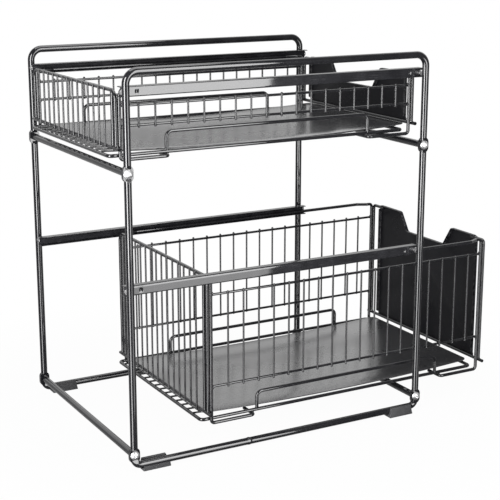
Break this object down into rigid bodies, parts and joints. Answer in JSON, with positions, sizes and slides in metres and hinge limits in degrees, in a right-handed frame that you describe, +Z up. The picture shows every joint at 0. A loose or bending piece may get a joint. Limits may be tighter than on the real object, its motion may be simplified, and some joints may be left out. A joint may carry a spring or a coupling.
{
  "type": "gap storage shelf",
  "caption": "Narrow storage shelf: round-bar side frames joined by cross bars carry wire baskets with notched sheet fronts that slide out on channel rails.",
  "frame": {"origin": "middle of the stand's footprint, on the floor", "axes": "+Z up, -Y to the front where the baskets slide out, +X to the right seen from the front"},
  "size_m": [0.294, 0.4994, 0.435],
  "materials": {
    "gloss_black_paint": "gloss black powder coat",
    "satin_black_sheet": "satin black coated sheet",
    "silver_steel": "zinc-plated",
    "foot_plastic": "textured dark grey"
  },
  "bodies": {
    "stand": {"left_side_frame": "gloss_black_paint", "right_side_frame": "gloss_black_paint", "back_upper_cross_bar": "gloss_black_paint", "front_upper_cross_bar": "gloss_black_paint", "back_lower_cross_bar": "gloss_black_paint", "front_lower_cross_bar": "gloss_black_paint", "cross_bar_screws": "silver_steel", "upper_left_rail": "gloss_black_paint", "upper_right_rail": "gloss_black_paint", "lower_left_rail": "gloss_black_paint", "lower_right_rail": "gloss_black_paint", "rail_studs": "silver_steel", "back_left_foot": "foot_plastic", "back_right_foot": "foot_plastic", "front_left_foot": "foot_plastic", "front_right_foot": "foot_plastic"},
    "upper_basket": {"upper_left_side_wire": "gloss_black_paint", "upper_right_side_wire": "gloss_black_paint", "upper_left_grille": "gloss_black_paint", "upper_right_grille": "gloss_black_paint", "upper_back_panel": "gloss_black_paint", "upper_floor_grid": "gloss_black_paint", "upper_left_guard": "gloss_black_paint", "upper_right_guard": "gloss_black_paint", "upper_tray": "satin_black_sheet", "upper_front_frame": "gloss_black_paint", "upper_front_panel": "satin_black_sheet"},
    "lower_basket": {"lower_left_side_wire": "gloss_black_paint", "lower_right_side_wire": "gloss_black_paint", "lower_left_grille": "gloss_black_paint", "lower_right_grille": "gloss_black_paint", "lower_back_panel": "gloss_black_paint", "lower_floor_grid": "gloss_black_paint", "lower_left_guard": "gloss_black_paint", "lower_right_guard": "gloss_black_paint", "lower_tray": "satin_black_sheet", "lower_front_frame": "gloss_black_paint", "lower_front_panel": "satin_black_sheet"}
  },
  "joints": [
    {"name": "upper_slide", "type": "slide", "parent": "stand", "child": "upper_basket", "axis": [0, -1, 0], "range_m": [0, 0.23]},
    {"name": "lower_slide", "type": "slide", "parent": "stand", "child": "lower_basket", "axis": [0, -1, 0], "range_m": [-0.103, 0.127]}
  ]
}
